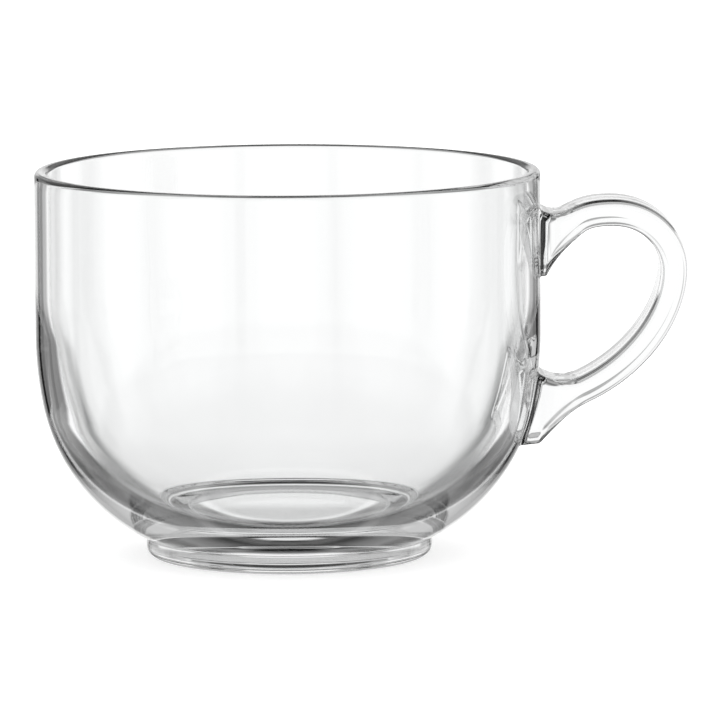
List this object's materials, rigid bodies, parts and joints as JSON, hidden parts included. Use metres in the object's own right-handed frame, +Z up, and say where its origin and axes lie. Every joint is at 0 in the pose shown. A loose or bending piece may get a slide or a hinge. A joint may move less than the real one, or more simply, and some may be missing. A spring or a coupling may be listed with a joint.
{
  "type": "glass mug",
  "caption": "Wide clear glass mug with a round-bottomed bowl, a low foot and a looped strap handle on one side.",
  "frame": {"origin": "on the bowl's vertical axis, in the plane of the ring that the foot stands on", "axes": "+Z up along the bowl's axis, out of its mouth; +X from the axis towards the handle; the mug is the same on both sides of the XZ plane"},
  "size_m": [0.152, 0.118, 0.0905],
  "materials": {
    "clear_glass": "smooth, fire-polished, colourless"
  },
  "bodies": {
    "root": {"bowl": "clear_glass", "foot": "clear_glass", "handle": "clear_glass"}
  },
  "joints": []
}
